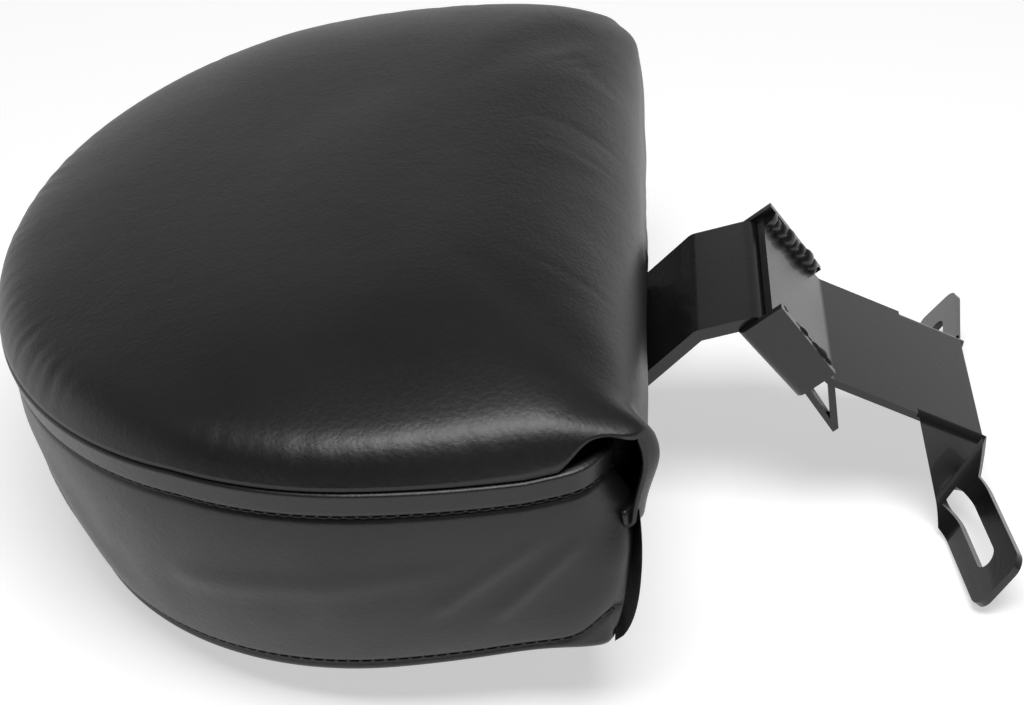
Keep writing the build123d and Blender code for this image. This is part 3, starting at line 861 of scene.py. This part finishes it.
# The flap hangs from the first row of the straight side, between the two corners
HEM_HEIGHT = 39.0
HEM_END_RISE = 3.0
HEM_END = 14.0
HEM_TURN = 1.7
HEM_DEPTH = 4.0
HEM_TURN_STEPS = 7
HEM_CLIMB_STEPS = 2
HEM_WANDER = 1.2
HEM_LUMPS = (0.03, 1.0)
FLAP_ROWS = 30
FLAP_BULGE = 0.4
FLAP_LEAN = 1.5
FLAP_CURL = 1.0
FLAP_CURL_END = 3.0
FLAP_WAVE_LUMPS = (0.04, 0.9)
FLAP_STILL_END = 12.0
BUNCH_AT = 12.0
BUNCH_HALF = 20.0
BUNCH_TURN = 0.52
BUNCH_WANDER = 2.0
BUNCH_LUMPS = (0.05, 1.0)
BUNCH_OUT = 1.1
BUNCH_UP = 1.3
CORNER_BULGE = 5.0
CORNER_BULGE_Y = -123.0
CORNER_BULGE_HALF = 7.0
CORNER_BULGE_Z = 62.0
CORNER_BULGE_TALL = 12.0
CORNER_BULGE_FROM = -14.0
CORNER_BULGE_OVER = 12.0
flap_columns = [*range(CURVE_POINTS - 1, LOOP_POINTS), 0]
flap_width = len(flap_columns)
flap_top = dome_points[flap_columns]
flap_along = distances(flap_top[:, :2])
flap_to_end = np.minimum(flap_along, flap_along[-1] - flap_along)


def flap_point(index, share):
    """A point of the flap at a share of the way down to its hem, which bunches up over the bar."""
    x, y, z = flap_top[index]
    to_end = flap_to_end[index]
    wander = BUNCH_WANDER * drift((y, share), BUNCH_LUMPS, layer=8.0)
    bunch = bell(y - BUNCH_AT, BUNCH_HALF) * sin(y * BUNCH_TURN + wander)
    wave = drift((y, share), FLAP_WAVE_LUMPS, layer=5.0) * (1 - bell(to_end, FLAP_STILL_END))
    out = FLAP_BULGE * sin(pi * share) - FLAP_LEAN * share**2
    out -= FLAP_CURL * bell(to_end, FLAP_CURL_END) * share**0.5
    hem = HEM_HEIGHT + HEM_END_RISE * bell(to_end, HEM_END)
    lift = HEM_WANDER * drift((y, 6.0), HEM_LUMPS, layer=1.0) + BUNCH_UP * bunch
    return x + out + share * (wave + BUNCH_OUT * bunch), y, z + share * (hem - z + lift)


flap_points = [flap_point(i, r / FLAP_ROWS) for r in range(1, FLAP_ROWS + 1) for i in range(flap_width)]
hem_line = flap_points[-flap_width:]
for step in range(1, HEM_TURN_STEPS + HEM_CLIMB_STEPS + 1):
    turn = pi * min(1, step / HEM_TURN_STEPS)
    climb = HEM_DEPTH * max(0, step - HEM_TURN_STEPS) / HEM_CLIMB_STEPS
    for x, y, z in hem_line:
        flap_points.append((x - HEM_TURN * (1 - cos(turn)), y, z - HEM_TURN * sin(turn) + climb))
front_points = np.concatenate([dome_points, flap_points])
front_x, front_y, front_z = front_points.T
near_bulge = bell(front_y - CORNER_BULGE_Y, CORNER_BULGE_HALF)
near_bulge *= bell(front_z - CORNER_BULGE_Z, CORNER_BULGE_TALL)
front_x += CORNER_BULGE * near_bulge * smooth((front_x - CORNER_BULGE_FROM) / CORNER_BULGE_OVER)
front_faces = list(dome_faces)
flap_index = [flap_columns]
for start in range(len(dome_points), len(front_points), flap_width):
    flap_index.append(range(start, start + flap_width))
for upper, lower in zip(flap_index, flap_index[1:]):
    for i in range(flap_width - 1):
        front_faces.append((upper[i], upper[i + 1], lower[i + 1], lower[i]))
front = mesh_piece("cover_front", in_row(front_points), front_faces)
add_thickness(front, LEATHER_THICKNESS)
dress(front, leather_material, "cover_front_panel")

# Board and fixings: a plain flat board stiffens the pad inside its cover.
# Four zinc-plated screws hold the bar to it, in tee nuts that are let into its back.

BOARD_DARK = (0.3, 0.2, 0.12)
BOARD_PALE = (0.45, 0.33, 0.2)
ZINC_DARK = (0.42, 0.42, 0.43)
ZINC_PALE = (0.6, 0.6, 0.6)

board_finish = new_finish("plain_board")
streaks = board_finish.clouds(board_finish.place(), per_metre=40.0, detail=5.0)
board_material = board_finish.principled(
    base_color=board_finish.between(streaks, BOARD_DARK, BOARD_PALE),
    roughness=0.7,
)
zinc_finish = new_finish("zinc_plate")
spangle = zinc_finish.clouds(zinc_finish.place(), per_metre=500.0, detail=3.0)
zinc_material = zinc_finish.principled(
    base_color=zinc_finish.between(spangle, ZINC_DARK, ZINC_PALE),
    metallic=1.0,
    roughness=0.3 + spangle * 0.15,
)


def give_finish(material, *names):
    """Puts a material on CAD pieces that already have their right shape."""
    for name in names:
        nodes[name].data.materials.clear()
        nodes[name].data.materials.append(material)


give_finish(board_material, "backing_board")
give_finish(zinc_material, "bar_screws", "tee_nuts")

# Steel: the bar is bent from flat strip, and the bracket and its pocket are folded from sheet
# and welded. All of it has one semi-gloss black powder coat with a fine orange peel.

COAT_DARK = (0.007, 0.007, 0.0072)
COAT_PALE = (0.011, 0.011, 0.0115)

coat_finish = new_finish("black_powder_coat")
place = coat_finish.place()
peel = coat_finish.clouds(place, per_metre=800.0)
haze = coat_finish.clouds(place, per_metre=50.0, detail=3.0)
coat_material = coat_finish.principled(
    base_color=coat_finish.between(haze, COAT_DARK, COAT_PALE),
    roughness=0.22 + haze * 0.1,
    coat_weight=0.2,
    normal=coat_finish.bump(peel, strength=0.1, distance=0.0003),
)
give_finish(coat_material, "support_bar", "mounting_bracket", "pocket_channel", "channel_welds")

# Studio: a white floor that keeps the shadow, a bright backdrop that fades overhead and towards
# the camera, a large soft lamp above, and the camera at the photograph's angle.

FLOOR_SIZE = 30.0
FLOOR_GREY = 0.62
FLOOR_GLOW = 0.54
bpy.ops.mesh.primitive_plane_add(size=FLOOR_SIZE)
floor = bpy.context.object
floor.name = "floor"
paper = new_finish("white_paper")
camera_ray = paper.node("ShaderNodeLightPath", output="Is Camera Ray")
glossy_ray = paper.node("ShaderNodeLightPath", output="Is Glossy Ray")
lit = paper.node("ShaderNodeBsdfDiffuse", None, {"Color": (FLOOR_GREY, FLOOR_GREY, FLOOR_GREY, 1)})
glow = paper.node("ShaderNodeEmission", None, {"Strength": (camera_ray + glossy_ray) * FLOOR_GLOW})
both = paper.node("ShaderNodeAddShader", None, {0: lit, 1: glow})
paper.node("ShaderNodeOutputMaterial", None, {"Surface": both})
floor.data.materials.append(paper.owner)

# Grey levels of the backdrop: from the horizon up, and from the camera's side to the far side
SKY = [(0.0, 1.0), (0.12, 1.0), (0.36, 0.32), (0.5, 0.14), (1.0, 0.1)]
ROOM = [(0.25, 0.14), (0.6, 1.0)]
scene.world = scene.world or bpy.data.worlds.new("studio")
studio = Finish(scene.world)


def grey_ramp(value, stops):
    """A grey that follows a value through a list of places and levels."""
    ramp = studio.node("ShaderNodeValToRGB", None, {0: value})
    elements = ramp.socket.node.color_ramp.elements
    while len(elements) < len(stops):
        elements.new(1.0)
    for element, (position, level) in zip(elements, stops):
        element.position = position
        element.color = (level, level, level, 1)
    return ramp


direction = studio.node("ShaderNodeTexCoord", output="Generated")
up = studio.node("ShaderNodeSeparateXYZ", None, {0: direction}, "Z")
away = studio.node("ShaderNodeSeparateXYZ", None, {0: direction}, "Y")
sky = grey_ramp(up, SKY) * grey_ramp(away * 0.5 + 0.5, ROOM)
background = studio.node("ShaderNodeBackground", None, {"Color": sky, "Strength": 1.0})
studio.node("ShaderNodeOutputWorld", None, {"Surface": background})

LAMP_PLACE = (0.08, -0.5, 1.55)
LAMP_TILT = radians(18)
LAMP_WIDTH = 1.0
LAMP_DEPTH = 0.7
LAMP_WATTS = 22.0
lamp = bpy.data.lights.new("overhead", "AREA")
lamp.shape = "RECTANGLE"
lamp.size = LAMP_WIDTH
lamp.size_y = LAMP_DEPTH
lamp.energy = LAMP_WATTS
lamp_holder = bpy.data.objects.new("overhead", lamp)
lamp_holder.location = LAMP_PLACE
lamp_holder.rotation_euler = (LAMP_TILT, 0, 0)
scene.collection.objects.link(lamp_holder)

IMAGE_WIDTH = 1024
FOCAL_PIXELS = 2150
SENSOR_WIDTH = 36.0
CAMERA_PLACE = (0.03144, -0.59257, 0.42493)
CAMERA_TURN = (radians(57.01), radians(0.218), radians(2.774))
lens = bpy.data.cameras.new("camera")
lens.sensor_width = SENSOR_WIDTH
lens.lens = FOCAL_PIXELS / IMAGE_WIDTH * SENSOR_WIDTH
camera = bpy.data.objects.new("camera", lens)
camera.location = CAMERA_PLACE
camera.rotation_euler = CAMERA_TURN
scene.collection.objects.link(camera)
scene.camera = camera
scene.view_settings.view_transform = "Standard"
